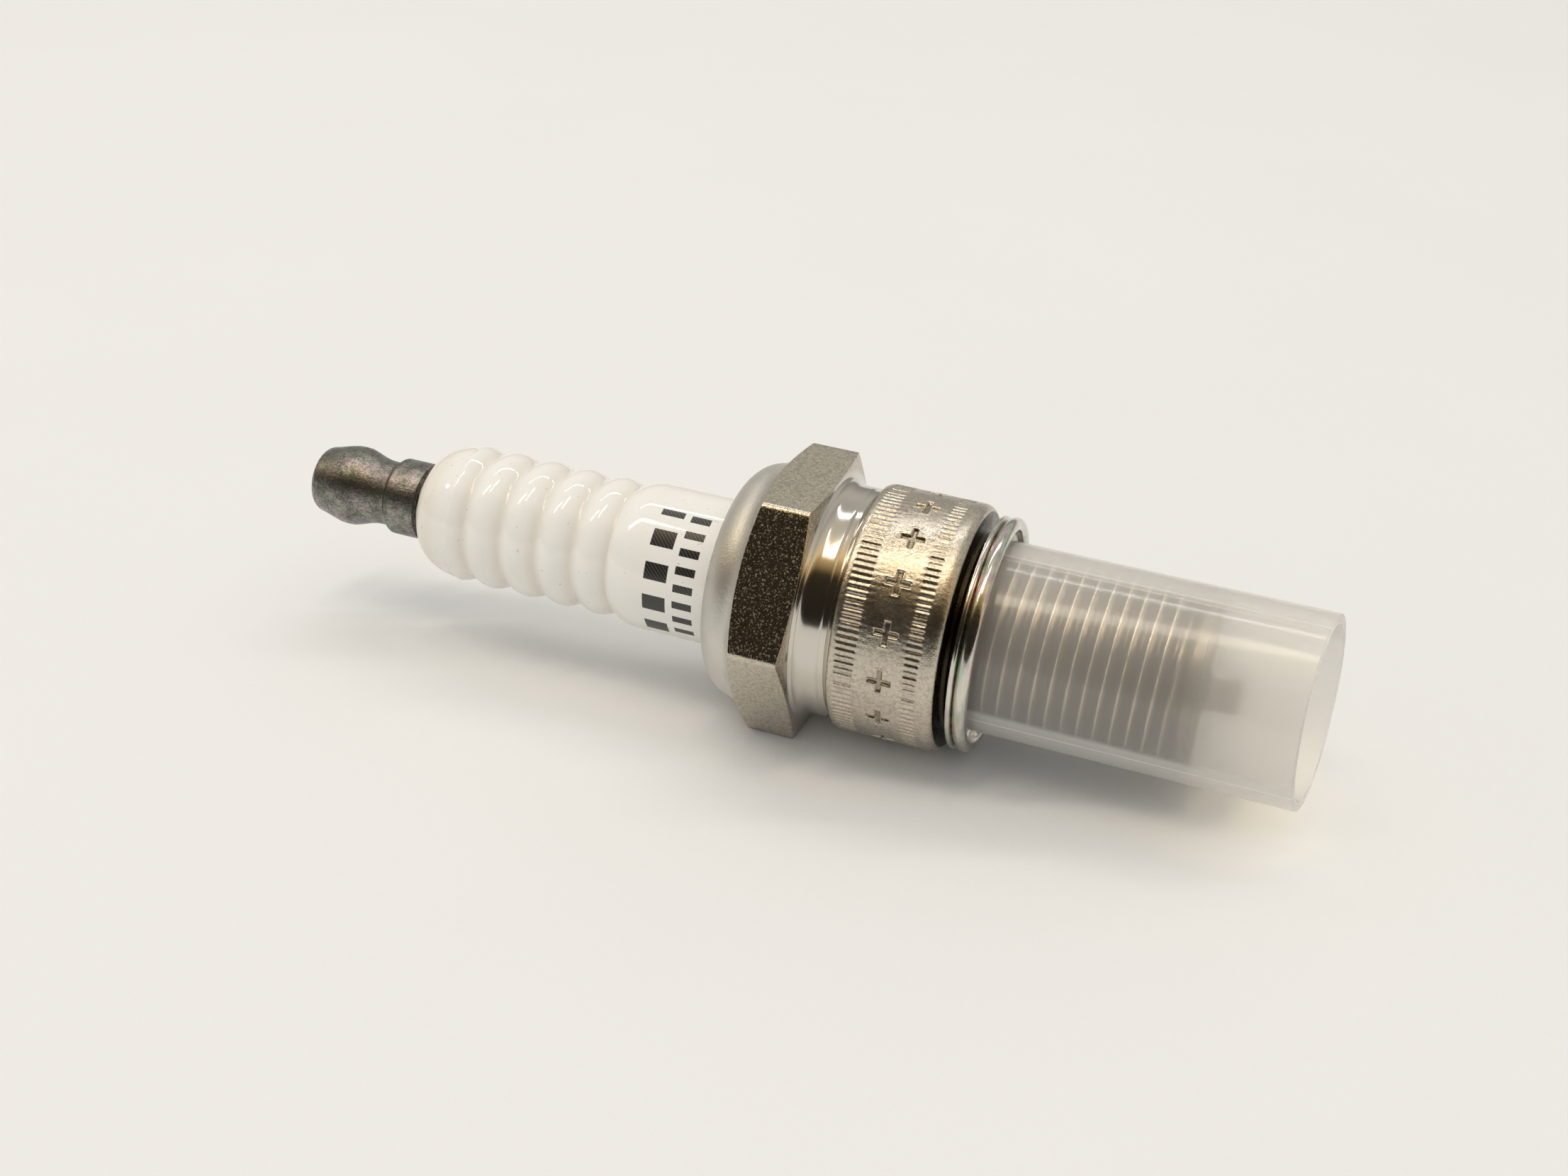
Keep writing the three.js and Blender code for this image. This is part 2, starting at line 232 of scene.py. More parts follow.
def make_piece(name, body, material, points, faces):
    """A smooth, welded mesh that stands for the CAD node of the same name."""
    mesh = bpy.data.meshes.new(name)
    metres = np.array(points, float) * MM
    metres[:, 0] += SEAT
    mesh.from_pydata(metres.tolist(), [], faces)
    work = bmesh.new()
    work.from_mesh(mesh)
    bmesh.ops.remove_doubles(work, verts=work.verts, dist=0.0002 * MM)
    loose = [v for v in work.verts if not v.link_faces]
    bmesh.ops.delete(work, geom=loose, context="VERTS")
    bmesh.ops.recalc_face_normals(work, faces=work.faces)
    work.to_mesh(mesh)
    work.free()
    mesh.shade_smooth()
    mesh.materials.append(material)
    piece = bpy.data.objects.new("plug_" + name, mesh)
    bpy.context.scene.collection.objects.link(piece)
    smooth = piece.modifiers.new("even_shading", "WEIGHTED_NORMAL")
    smooth.keep_sharp = True
    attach(piece, body)
    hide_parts(name)
    return piece


# ---- node helpers ----
class Nodes:
    """Short calls for the shader nodes that the materials share. Lengths inside are millimetres."""

    def __init__(self, name):
        self.material = bpy.data.materials.new(name)
        self.material.use_nodes = True
        self.tree = self.material.node_tree
        self.tree.nodes.clear()
        self.output = self.tree.nodes.new("ShaderNodeOutputMaterial")
        place = self.tree.nodes.new("ShaderNodeTexCoord").outputs["Object"]
        move = self.add("ShaderNodeVectorMath", operation="SUBTRACT")
        self.link(place, move.inputs[0])
        move.inputs[1].default_value = (SEAT, 0, 0)
        self.place = self.scaled(move.outputs[0], (1 / MM,) * 3)
        split = self.add("ShaderNodeSeparateXYZ")
        self.link(self.place, split.inputs[0])
        self.station, self.y, self.z = split.outputs
        # this angle starts at the top and grows towards +Y
        self.around = self.math("ARCTAN2", self.y, self.z)

    def add(self, kind, **settings):
        node = self.tree.nodes.new(kind)
        for key, value in settings.items():
            setattr(node, key, value)
        return node

    def link(self, source, socket):
        self.tree.links.new(source, socket)

    def put(self, socket, value):
        """Links an output, or sets a plain value."""
        if isinstance(value, bpy.types.NodeSocket):
            self.link(value, socket)
        elif isinstance(value, tuple) and socket.type == "RGBA":
            socket.default_value = (*value, 1)
        else:
            socket.default_value = value

    def scaled(self, vector, factors):
        node = self.add("ShaderNodeVectorMath", operation="MULTIPLY")
        self.link(vector, node.inputs[0])
        node.inputs[1].default_value = factors
        return node.outputs[0]

    def math(self, operation, a, b=0.0):
        node = self.add("ShaderNodeMath", operation=operation)
        self.put(node.inputs[0], a)
        self.put(node.inputs[1], b)
        return node.outputs[0]

    def radius(self):
        """Distance from the plug's axis."""
        y_squared = self.math("MULTIPLY", self.y, self.y)
        z_squared = self.math("MULTIPLY", self.z, self.z)
        return self.math("SQRT", self.math("ADD", y_squared, z_squared))

    def noise(self, scale, detail=3.0, roughness=0.55, stretch=(1, 1, 1)):
        node = self.add("ShaderNodeTexNoise")
        self.link(self.scaled(self.place, stretch), node.inputs["Vector"])
        node.inputs["Scale"].default_value = scale
        node.inputs["Detail"].default_value = detail
        node.inputs["Roughness"].default_value = roughness
        return node.outputs["Fac"]

    def span(self, value, low, high, out_low=0.0, out_high=1.0):
        """value mapped smoothly from low..high to out_low..out_high."""
        node = self.add("ShaderNodeMapRange", interpolation_type="SMOOTHSTEP")
        for socket, number in zip(node.inputs[:5], (value, low, high, out_low, out_high)):
            self.put(socket, number)
        return node.outputs["Result"]

    def between(self, value, low, high, soft):
        """1 where value lies from low to high, with soft edges."""
        rise = self.span(value, low - soft, low + soft)
        fall = self.span(value, high - soft, high + soft, 1.0, 0.0)
        return self.math("MULTIPLY", rise, fall)

    def mix(self, factor, a, b):
        node = self.add("ShaderNodeMix", data_type="RGBA")
        self.put(node.inputs["Factor"], factor)
        self.put(node.inputs[6], a)
        self.put(node.inputs[7], b)
        return node.outputs[2]

    def lerp(self, factor, a, b):
        node = self.add("ShaderNodeMix", data_type="FLOAT")
        self.put(node.inputs["Factor"], factor)
        self.put(node.inputs[2], a)
        self.put(node.inputs[3], b)
        return node.outputs[0]

    def bump(self, height, depth):
        """A bump of depth millimetres."""
        node = self.add("ShaderNodeBump")
        node.inputs["Strength"].default_value = 1.0
        node.inputs["Distance"].default_value = depth * MM
        self.put(node.inputs["Height"], height)
        return node.outputs[0]

    def surface(self, **values):
        """A Principled surface; names use underscores for the spaces in the socket names."""
        shader = self.add("ShaderNodeBsdfPrincipled")
        for key, value in values.items():
            self.put(shader.inputs[key.replace("_", " ")], value)
        return shader.outputs[0]

    def either(self, factor, a, b):
        """A blend of two surfaces."""
        node = self.add("ShaderNodeMixShader")
        for socket, source in zip(node.inputs, (factor, a, b)):
            self.link(source, socket)
        return node.outputs[0]

    def done(self, shader):
        self.link(shader, self.output.inputs["Surface"])
        return self.material


# ---- materials ----
def gunmetal():
    """Dark, scratched plating with faint purple and green tints."""
    n = Nodes("gunmetal")
    patches = n.noise(0.9, 5, 0.65)
    fine = n.noise(5, 5, 0.7)
    scratch = n.noise(2.2, 4, 0.65, (0.5, 3, 3))
    tone = n.math("ADD", n.math("MULTIPLY", patches, 0.45), n.math("MULTIPLY", fine, 0.55))
    tint = n.mix(n.span(n.noise(0.5, 2), 0.4, 0.6), (0.33, 0.34, 0.28), (0.4, 0.34, 0.355))
    color = n.mix(n.span(tone, 0.4, 0.62), (0.13, 0.13, 0.12), tint)
    color = n.mix(n.math("MULTIPLY", n.span(scratch, 0.6, 0.72), 0.6), color, (0.62, 0.59, 0.52))
    rough = n.span(tone, 0.35, 0.65, 0.42, 0.26)
    height = n.math("ADD", fine, n.math("MULTIPLY", scratch, 0.6))
    return n.done(n.surface(Base_Color=color, Metallic=1.0, Roughness=rough, Normal=n.bump(height, 0.03)))


def steel():
    n = Nodes("turned_steel")
    lines = n.noise(3, 3, 0.6, (14, 1, 1))
    color = n.mix(lines, (0.42, 0.41, 0.4), (0.62, 0.6, 0.58))
    rough = n.span(lines, 0.3, 0.7, 0.24, 0.38)
    return n.done(n.surface(Base_Color=color, Metallic=1.0, Roughness=rough, Normal=n.bump(lines, 0.004)))


def glaze():
    """Ivory glaze, warmer in the grooves, with two rows of plain printed bars on the cylinder."""
    n = Nodes("glaze")
    tint = n.noise(0.25, 2)
    white = n.mix(tint, (0.87, 0.845, 0.785), (0.9, 0.88, 0.83))
    ribs = n.span(n.station, -27, -28, 0.0, 1.0)
    groove = n.math("MULTIPLY", n.span(n.radius(), RIB_GROOVE, RIB_GROOVE + 0.4, 1.0, 0.0), ribs)
    white = n.mix(n.math("MULTIPLY", groove, 0.5), white, (0.8, 0.73, 0.62))
    specks = n.span(n.noise(3.2, 1, 0.4), 0.75, 0.78)
    white = n.mix(n.math("MULTIPLY", specks, 0.5), white, (0.4, 0.33, 0.25))
    ink = printed_bars(n)
    color = n.mix(ink, white, (0.018, 0.016, 0.014))
    rough = n.lerp(ink, 0.04, 0.3)
    ripple = n.bump(n.noise(0.8, 2), 0.004)
    return n.done(
        n.surface(
            Base_Color=color,
            Roughness=rough,
            IOR=1.55,
            Subsurface_Weight=0.45,
            Subsurface_Radius=(1.0, 0.85, 0.65),
            Subsurface_Scale=0.0016,
            Normal=ripple,
        )
    )


def printed_bars(n):
    """Ink on the glaze: a row of wide bars and a row of narrow ones, cut by fine slanting lines."""
    wide_wave = n.math("SINE", n.math("MULTIPLY", n.around, 14.0))
    narrow_wave = n.math("SINE", n.math("MULTIPLY", n.around, 26.0))
    wide = n.math("MULTIPLY", n.between(n.station, *WIDE_ROW, 0.03), n.span(wide_wave, -0.12, 0.0))
    narrow = n.math("MULTIPLY", n.between(n.station, *NARROW_ROW, 0.03), n.span(narrow_wave, 0.1, 0.25))
    slant = n.math("ADD", n.math("MULTIPLY", n.station, 18.0), n.math("MULTIPLY", n.around, 110.0))
    hatch = n.span(n.math("SINE", slant), -0.98, -0.7, 0.86, 1.0)
    bars = n.math("MULTIPLY", n.math("MAXIMUM", wide, narrow), hatch)
    return n.math("MULTIPLY", bars, n.between(n.around, *PRINTED_SIDE, 0.01))


def nickel():
    """Plated steel: grainy on the hexagon and the flange, polished in the neck, matte on the crimp."""
    n = Nodes("nickel_plate")
    hexagon = n.between(n.station, HEX_BACK + 0.05, HEX_FRONT, 0.05)
    neck = n.between(n.station, HEX_FRONT + 0.02, NECK_FRONT, 0.06)
    crimp = n.span(n.station, HEX_BACK - 0.1, HEX_BACK + 0.1, 1.0, 0.0)
    thread = n.span(n.station, 0.3, 0.5)
    cloud = n.noise(0.5, 4, 0.6)
    grain = n.noise(3.2, 3, 0.75)
    sparkle = n.noise(6.5, 2, 0.6)
    color = nickel_grain(n, hexagon, cloud, grain, sparkle)
    color = n.mix(neck, color, (0.66, 0.625, 0.565))
    color = n.mix(crimp, color, n.mix(cloud, (0.62, 0.61, 0.57), (0.76, 0.75, 0.71)))
    color = nickel_shade(n, color, thread)
    # the hexagon is smooth between rough specks, which show as light points on its dark side
    specks = n.span(sparkle, 0.54, 0.66, 0.19, 0.48)
    rough = n.lerp(hexagon, n.span(cloud, 0.3, 0.7, 0.24, 0.32), specks)
    for region, value in ((crimp, 0.48), (neck, 0.14), (thread, 0.2)):
        rough = n.lerp(region, rough, value)
    blasted = n.math("SUBTRACT", 1.0, n.math("MAXIMUM", neck, thread))
    fine = n.math("MULTIPLY", n.math("SUBTRACT", sparkle, 0.5), 0.5)
    height = n.math("ADD", n.math("SUBTRACT", grain, 0.5), fine)
    normal = n.bump(n.math("MULTIPLY", height, blasted), 0.028)
    return n.done(n.surface(Base_Color=color, Metallic=1.0, Roughness=rough, Normal=normal))


def nickel_grain(n, hexagon, cloud, grain, sparkle):
    """The plating's colour, with dark pits, bright points and painted shade in the stamped lines and marks."""
    color = n.mix(cloud, (0.56, 0.51, 0.43), (0.64, 0.59, 0.51))
    pits = n.math("MULTIPLY", n.span(grain, 0.42, 0.52, 1.0, 0.0), n.lerp(hexagon, 0.3, 0.35))
    color = n.mix(pits, color, (0.17, 0.14, 0.1))
    points = n.math("MULTIPLY", n.span(sparkle, 0.52, 0.66), 0.4)
    color = n.mix(points, color, (0.86, 0.75, 0.56))
    flange = n.between(n.station, FLANGE_BACK, -1.6, 0.05)
    # painted shade: darker wherever the surface lies below the flange's radius, in the knurl grooves and the
    # plus marks
    stamping_shade = n.math("MULTIPLY", flange, n.span(n.radius(), FLANGE - 0.14, FLANGE - 0.04, 0.6, 0.0))
    return n.mix(stamping_shade, color, (0.2, 0.16, 0.1))


def nickel_shade(n, color, thread):
    """Painted shade: darkens the recess behind the gasket and the roots of the thread."""
    # painted shade, almost black, in the recess behind the gasket
    recess = n.between(n.station, FLANGE_END - 0.02, 0.3, 0.02)
    color = n.mix(recess, color, (0.05, 0.04, 0.025))
    # painted shade in the roots of the thread
    root = n.math("MULTIPLY", n.span(n.radius(), THREAD_ROOT, THREAD_CREST - 0.1, 1.0, 0.0), thread)
    return n.mix(root, color, (0.12, 0.1, 0.08))


def electrode_nickel():
    n = Nodes("electrode_nickel")
    grain = n.noise(4, 4, 0.6)
    color = n.mix(grain, (0.36, 0.34, 0.31), (0.52, 0.49, 0.45))
    rough = n.span(grain, 0.3, 0.7, 0.3, 0.45)
    return n.done(n.surface(Base_Color=color, Metallic=1.0, Roughness=rough, Normal=n.bump(grain, 0.01)))


def copper():
    n = Nodes("copper")
    grain = n.noise(3, 4, 0.6, (6, 1, 1))
    color = n.mix(grain, (0.6, 0.3, 0.17), (0.8, 0.45, 0.28))
    rough = n.span(grain, 0.3, 0.7, 0.22, 0.4)
    return n.done(n.surface(Base_Color=color, Metallic=1.0, Roughness=rough, Normal=n.bump(grain, 0.006)))


def seal_glass():
    n = Nodes("seal_glass")
    grain = n.noise(7, 5, 0.7)
    color = n.mix(n.span(grain, 0.35, 0.65), (0.03, 0.033, 0.034), (0.16, 0.13, 0.11))
    rough = n.span(grain, 0.3, 0.7, 0.2, 0.5)
    return n.done(n.surface(Base_Color=color, Roughness=rough, Normal=n.bump(grain, 0.02)))


def talc():
    n = Nodes("talc")
    grain = n.noise(12, 6, 0.75)
    color = n.mix(grain, (0.62, 0.6, 0.55), (0.86, 0.84, 0.79))
    return n.done(n.surface(Base_Color=color, Roughness=0.95, Normal=n.bump(grain, 0.03)))


def zinc():
    """Polished zinc plate with the green and pink tints of a clear passivate."""
    n = Nodes("zinc_passivate")
    streak = n.noise(0.6, 3, 0.5, (6, 1, 1))
    grain = n.noise(5, 4, 0.6)
    tint = n.mix(n.span(streak, 0.38, 0.62), (0.45, 0.56, 0.45), (0.66, 0.5, 0.56))
    color = n.mix(n.span(n.noise(0.9, 2, 0.5, (3, 1, 1)), 0.35, 0.65), tint, (0.7, 0.68, 0.6))
    rough = n.span(grain, 0.3, 0.7, 0.12, 0.2)
    return n.done(n.surface(Base_Color=color, Metallic=1.0, Roughness=rough, Normal=n.bump(grain, 0.005)))


def clear_plastic():
    """Milky tube, clear outside over a frosted bore, which blurs what is behind it more the farther it is."""
    n = Nodes("clear_sleeve")
    bore = n.span(n.radius(), SLEEVE_BORE + 0.1, SLEEVE_BORE + 0.2, 1.0, 0.0)
    clear = n.surface(
        Base_Color=(0.96, 0.955, 0.94),
        Roughness=n.lerp(bore, 0.13, n.span(n.station, 16.5, 19.5, 0.4, 0.62)),
        IOR=1.45,
        Transmission_Weight=1.0,
        Normal=n.bump(n.noise(2.4, 3, 0.55, (0.06, 1, 1)), 0.004),
    )
    milk = n.surface(
        Base_Color=(0.76, 0.745, 0.71),
        Roughness=0.4,
        Subsurface_Weight=0.3,
        Subsurface_Radius=(1.0, 0.95, 0.85),
        Subsurface_Scale=0.002,
    )
    body = n.either(milk_share(n, bore), clear, milk)
    # lamps shine through the tube, so its shadow is pale
    see = n.add("ShaderNodeBsdfTransparent")
    see.inputs["Color"].default_value = (0.94, 0.935, 0.92, 1)
    shadow = n.add("ShaderNodeLightPath").outputs["Is Shadow Ray"]
    return n.done(n.either(shadow, body, see.outputs[0]))


def milk_share(n, bore):
    """How milky the tube is: more at its edges, along its two mould lines, and on the fine spiral that the
    thread's crests have left in the bore."""
    facing = n.add("ShaderNodeLayerWeight")
    facing.inputs["Blend"].default_value = 0.5
    middle = n.span(n.station, 16.5, 20, 0.17, 0.26)
    share = n.span(facing.outputs["Facing"], 0.38, 0.46, middle, 0.5)
    turn = n.math("SUBTRACT", n.math("MULTIPLY", n.station, 2 * math.pi / THREAD_PITCH), n.around)
    spiral = n.span(n.math("COSINE", n.math("SUBTRACT", turn, SPIRAL_START)), 0.95, 0.985)
    spiral = n.math("MULTIPLY", n.math("MULTIPLY", spiral, bore), n.between(n.station, 1.8, 16.6, 0.3))
    broken = n.span(n.noise(1.2, 2), 0.35, 0.65, 0.15, 0.6)
    share = n.lerp(n.math("MULTIPLY", spiral, broken), share, 1.0)
    for side in MOULD_LINES:
        share = n.lerp(n.between(n.around, side - 0.008, side + 0.008, 0.004), share, 0.8)
    return share


def paper():
    n = Nodes("paper")
    fibre = n.noise(1.4, 6, 0.7)
    cloud = n.noise(0.02, 3)
    color = n.mix(cloud, (0.83, 0.81, 0.77), (0.86, 0.84, 0.8))
    return n.done(n.surface(Base_Color=color, Roughness=0.75, Normal=n.bump(fibre, 0.03)))


# ---- the shell ----
def corner_rows(enter, corner, leave):
    """Three rings that round an edge whose place changes around the plug."""
    middle = [0.25 * a + 0.5 * b + 0.25 * c for a, b, c in zip(enter, corner, leave)]
    return [enter, middle, leave]


def hexagon_rings(skin):
    """The hexagon with its corners turned off by a cone at each face, and every edge slightly rounded."""
    angle = skin.angles()
    off_flat = (angle + math.pi / 6) % (math.pi / 3) - math.pi / 6
    radius = np.minimum(HEX_FLAT / np.cos(off_flat), HEX_CORNER - 0.05)
    edge = HEX_EDGE
    inner = radius - edge
    back_slope = HEX_BACK_CHAMFER / (HEX_CORNER - HEX_FLAT)
    front_slope = HEX_FRONT_CHAMFER / (HEX_CORNER - HEX_FLAT)
    back = HEX_BACK + (radius - HEX_FLAT) * back_slope
    front = HEX_FRONT - (radius - HEX_FLAT) * front_slope
    inset = 0.2
    skin.ring(HEX_BACK - inset * back_slope, HEX_FLAT - inset)
    for x, r in corner_rows((back - edge * back_slope, inner), (back, radius), (back + edge, radius)):
        skin.ring(x, r)
    for x, r in corner_rows((front - edge, radius), (front, radius), (front + edge * front_slope, inner)):
        skin.ring(x, r)


def knurl(angle, x, low, high):
    """Depth of the short grooves between low and high; each groove has its own strength."""
    line = angle / (2 * math.pi) * KNURL_LINES
    number = np.floor(line).astype(int)
    strength = 0.75 + 0.25 * np.sin(number * 2.4) * np.sin(number * 0.73 + low)
    groove = (0.5 - 0.5 * np.cos(2 * math.pi * line)) ** 1.6
    end = np.clip(min(x - low, high - x) / KNURL_FADE, 0, 1)
    return KNURL_DEPTH * groove * strength * end


def plus_marks(angle, x):
    """Depth of a ring of stamped plus marks."""
    pitch = 2 * math.pi / MARK_COUNT
    across = ((angle - FIRST_MARK + pitch / 2) % pitch - pitch / 2) * FLANGE
    along = x - MARK_STATION
    arm_a = np.maximum(np.abs(across) - MARK_ARM, np.abs(along) - MARK_HALF_WIDTH)
    arm_b = np.maximum(np.abs(along) - MARK_ARM, np.abs(across) - MARK_HALF_WIDTH)
    distance = np.minimum(arm_a, arm_b)
    recess = np.clip(-distance / 0.09 + 0.4, 0, 1)
    rim = np.exp(-(((distance - 0.13) / 0.08) ** 2))
    return MARK_DEPTH * recess - 0.025 * rim


def flange_rings(skin):
    """The big round collar: two bands of short lines, with a ring of plus marks between them."""
    angle = skin.angles(FINE)

    def band(low, high):
        for x in (*np.linspace(low, low + 0.18, 3), *np.linspace(high - 0.18, high, 3)):
            skin.ring(x, FLANGE - knurl(angle, x, low, high), FINE)

    skin.ring(-8.95, FLANGE - 0.16, FINE)
    skin.ring(-8.75, FLANGE - 0.04, FINE)
    skin.ring(FLANGE_BACK, FLANGE, FINE)
    band(*KNURL_BANDS[0])
    reach = MARK_ARM + 0.18
    for x in MARK_STATION + np.linspace(-reach, reach, 31):
        skin.ring(x, FLANGE - plus_marks(angle, x), FINE)
    band(*KNURL_BANDS[1])
    skin.ring(-1.6, FLANGE, FINE)


def shell_skin():
    skin = Skin(COLUMNS)
    # the crimp, rolled in over the insulator's shoulder
    skin.rings(rounded([(-19.7, 6.45, 0), (-20.3, 6.48, 0.22), (-20.3, 7.0, 0.3)]))
    skin.rings(arc(-17.45, 7.1, 2.82, -86, -8, 12))
    hexagon_rings(skin)
    # the polished neck: a hollow curve, a plain cylinder and a narrow band behind the flange
    skin.rings([(-12.08, 10.15), (-12.02, 10.02)])
    skin.rings(arc(-11.05, 10.4, 0.9, 240, 182, 8))
    skin.rings([(-10.8, 9.49), (-10.1, 9.48), (-9.95, 9.46), (-9.87, 9.36), (-9.8, 9.33)])
    skin.rings([(-9.45, 9.33), (-9.34, 9.26), (-9.28, 9.1), (-9.12, 9.08), (-9.05, 9.2), (-8.98, 9.7)])
    flange_rings(skin)
    # the rounded end of the flange and the recess behind the gasket
    skin.rings([(FLANGE_FRONT, FLANGE), (-1.0, FLANGE - 0.03), (-0.75, 9.98), (-0.55, 9.85), (-0.44, 9.7)])
    skin.rings([(FLANGE_END, 9.55), (FLANGE_END, 8.2), (-0.34, 8.03), (-0.2, 8.0), (-0.03, 7.99), (0.0, 7.9)])
    skin.rings([(0.0, 6.3), (0.02, THREAD_ROOT + 0.04), (0.08, THREAD_ROOT), (THREAD_START, THREAD_ROOT)])
    skin.thread(THREAD_START, THREAD_END, THREAD_PITCH, THREAD_ROOT, THREAD_CREST, 1.3)
    skin.last = None  # the thread's ends weld to the plain rings beside it
    skin.rings([(THREAD_END, THREAD_ROOT), (17.3, THREAD_ROOT + 0.02), (17.4, TIP - 0.03), (17.5, TIP)])
    skin.rings([(REACH - 0.35, TIP), (REACH - 0.12, TIP - 0.06), (REACH - 0.02, TIP - 0.2)])
    skin.rings([(REACH, TIP - 0.3), (REACH, TIP_BORE + 0.1), (REACH - 0.1, TIP_BORE)])
    # the stepped bore
    skin.rings([(9.5, TIP_BORE), (8.9, 4.3), (7.9, 4.3), (7.0, 5.2), (-0.3, 5.2), (-2.4, 7.3), (-18.9, 7.3)])
    skin.ring(-19.6, 6.45)
    return skin.close()


# ---- the insulator and what it holds ----
def rib_radius(x):
    """Rounded ribs that meet in narrow grooves."""
    blend = 0.22
    wave = np.sin(math.pi * (x - LAST_GROOVE) / RIB_PITCH)
    height = (np.sqrt(wave**2 + blend**2) - blend) / (math.sqrt(1 + blend**2) - blend)
    return RIB_GROOVE + RIB_RISE * height


def insulator_outline():
    points = [(-48.0, 2.2), (-48.1, 2.4), (-48.1, 3.35), (-48.05, 3.62), (-47.93, 3.92), (-47.7, 4.28)]
    points += [(-47.4, 4.62), (-47.0, 4.95), (-46.5, 5.24), (-45.9, 5.48)]
    points += [(-45.3, 5.64), (-44.8, 5.73), (-44.3, 5.78)]
    first = LAST_GROOVE - 4.4 * RIB_PITCH
    for x in np.arange(first, LAST_GROOVE, RIB_PITCH / 22):
        points.append((x, min(rib_radius(x), 5.9)))
    # from the last groove up to the plain cylinder
    foot = RIB_GROOVE + 0.12
    for t in np.linspace(0, 1, 14):
        ease = 1 - (1 - t) ** 2.2
        points.append((LAST_GROOVE + 2.4 * t, foot + (BODY - foot) * ease))
    points += [(-24.0, BODY), (-20.0, BODY)]
    shoulder = [(-16.2, BODY, 0.3), (-15.2, 7.15, 0.3), (-2.5, 7.15, 0.3), (-0.5, 5.05, 0.3)]
    points += rounded([(-18.0, BODY, 0), *shoulder])
    points += [(6.3, 5.05), (6.5, 5.02), (7.35, 4.1), (7.6, 4.03), (9.0, 3.9)]
    points += [(17.7, 2.44), (18.0, 2.38), (18.2, 2.25), (18.3, 2.0), (18.3, 1.5), (18.22, 1.4)]
    points += [(-4.0, 1.4), (-4.6, 2.2)]
    return points


def stud_skin():
    """The threaded top, the collar under the nut, and the knurled foot in the seal."""
    skin = Skin(PLAIN)
    skin.rings([(-56.2, 0.0), (-56.2, 1.3), (-56.15, 1.4), (-55.95, STUD_ROOT)])
    skin.thread(-55.95, -49.3, STUD_PITCH, STUD_ROOT, STUD_CREST, 0.5)
    skin.last = None  # the thread's ends weld to the plain rings beside it
    skin.rings([(-49.3, STUD_ROOT), (-48.8, STUD_ROOT), (-48.5, STUD_ROOT + 0.1), (-48.44, 1.8)])
    skin.rings([(-48.44, 3.1), (-48.4, 3.17), (-48.2, 3.17), (-48.16, 3.1)])
    skin.rings([(-48.16, STUD_CREST), (-14.0, STUD_CREST)])
    knurled = 2.03 * (1 - 0.06 * (np.arange(PLAIN) % 4 < 2))
    skin.rings([(-13.9, knurled), (-11.3, knurled), (-11.0, 1.65), (-11.0, 0.0)])
    return skin.close()


def electrode_outline():
    """The sheath with its head in the seal, and the hollow that the copper core fills."""
    points = [(-5.9, 0.71), (-5.9, 1.8), (-5.83, 1.97), (-5.6, 2.08), (-4.75, 2.08), (-4.6, 2.0)]
    points += [(-4.0, 1.28), (-3.85, 1.25), (19.68, 1.25), (19.77, 1.22), (19.8, 1.12)]
    points += [(19.8, 0.0), (16.8, 0.0), (16.8, 0.71)]
    return points


# ---- pieces on the outside ----
def nut_outline():
    """The bulb, waist and collar that a plug cap grips, over a blind bore."""
    points = [(-59.1, 0.0)] + arc(-58.4, 2.2, 0.7, -90, -15, 8)
    points += [(-58.0, 3.01), (-57.4, 3.18), (-56.9, 3.32), (-56.4, 3.42), (-55.9, 3.45), (-55.4, 3.42)]
    points += [(-54.95, 3.3), (-54.5, 3.15), (-54.0, 2.98), (-53.5, 2.87), (-53.1, 2.81), (-52.6, 2.79)]
    collar = [(-51.9, 2.79, 0.12), (-51.45, 3.32, 0.12), (-48.65, 3.32, 0.12)]
    points += rounded([(-52.4, 2.79, 0), *collar])
    points += [(-48.5, 3.18), (-48.5, 2.35), (-48.65, 2.15), (-56.5, 2.15), (-57.3, 0.0)]
    return points


def gasket_outline():
    """A washer folded back on itself: a web and a thin rim, and a roll on the thread side."""
    points = rounded([(0.06, 6.62, 0), (0.06, 8.0, 0.15), (0.5, 8.45, 0.15), (0.5, 9.48, 0.14)])
    points += rounded([(0.6, 9.5, 0), (0.82, 9.5, 0.12), (0.92, 9.1, 0.05)])
    points += arc(1.55, 9.0, 0.55, -62, 100, 16)
    points += [(2.04, 8.72), (1.93, 8.6), (1.75, 8.55), (1.4, 8.56)]
    points += [(1.15, 8.45), (1.0, 8.2), (0.9, 7.6), (0.85, 6.62)]
    return points


def sleeve_skin():
    """A plain tube whose far end is cut at a slant."""
    skin = Skin(COLUMNS)
    near = [(SLEEVE_START, SLEEVE_BORE, 0.08), (SLEEVE_START, SLEEVE, 0.12)]
    far = [(SLEEVE_END, SLEEVE, 0.08), (SLEEVE_END, SLEEVE_BORE, 0.06)]
    middle = (SLEEVE_START + SLEEVE_END) / 2
    for x, r in rounded(near + far):
        slant = SLANT * r * np.cos(skin.angles() - SLANT_SIDE) if x > middle else 0.0
        skin.ring(x - slant, r)
    return skin.close()


